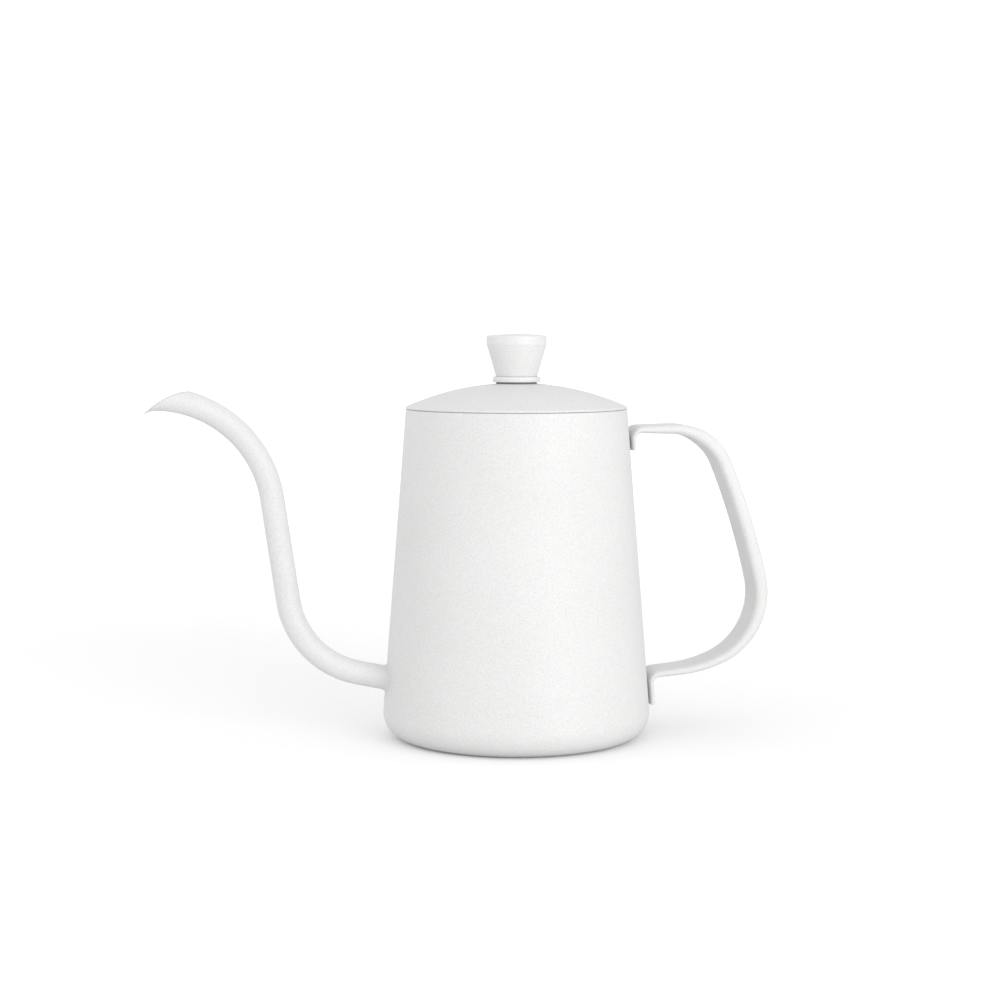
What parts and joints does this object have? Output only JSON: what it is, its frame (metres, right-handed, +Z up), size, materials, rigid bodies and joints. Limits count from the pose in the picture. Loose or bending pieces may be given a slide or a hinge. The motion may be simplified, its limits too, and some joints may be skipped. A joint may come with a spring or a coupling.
{
  "type": "gooseneck kettle",
  "caption": "Small tapered kettle with a thin bent pouring spout, a flat strap handle and a lift-off round lid with a tapered knob.",
  "frame": {"origin": "middle of the round foot, on the surface that the kettle stands on", "axes": "+Z up, -X towards the spout's lip, +X towards the handle's grip"},
  "size_m": [0.2282, 0.098, 0.1475],
  "materials": {
    "white_coat": "fine-grained matte white powder coat",
    "bare_steel": "drawn stainless steel, satin",
    "clear_silicone": "milky silicone",
    "heat_washer": "dark grey silicone",
    "white_knob": "satin white moulded plastic",
    "brass_insert": "turned brass",
    "zinc_steel": "bright zinc plate"
  },
  "bodies": {
    "kettle": {"body_shell": "white_coat", "base_plate": "bare_steel", "base_seam_weld": "bare_steel", "spout_tube": "white_coat", "spout_weld": "white_coat", "handle_strap": "white_coat", "handle_upper_weld": "white_coat", "handle_lower_weld": "white_coat"},
    "seal": {"lid_seal": "clear_silicone"},
    "lid": {"lid_dome": "white_coat", "lid_skirt": "bare_steel", "lid_skirt_welds": "bare_steel", "knob_gasket": "heat_washer", "knob_collar": "white_knob", "knob": "white_knob", "knob_insert": "brass_insert", "knob_screw": "zinc_steel", "knob_washer": "zinc_steel", "knob_spring_washer": "zinc_steel"}
  },
  "joints": [
    {"name": "lid_lift", "type": "slide", "parent": "kettle", "child": "seal", "axis": [0, 0, 1], "range_m": [0, 0.06]},
    {"name": "lid_turn", "type": "hinge", "parent": "seal", "child": "lid", "pos_m": [0, 0, 0.1204], "axis": [0, 0, 1], "continuous": true}
  ]
}
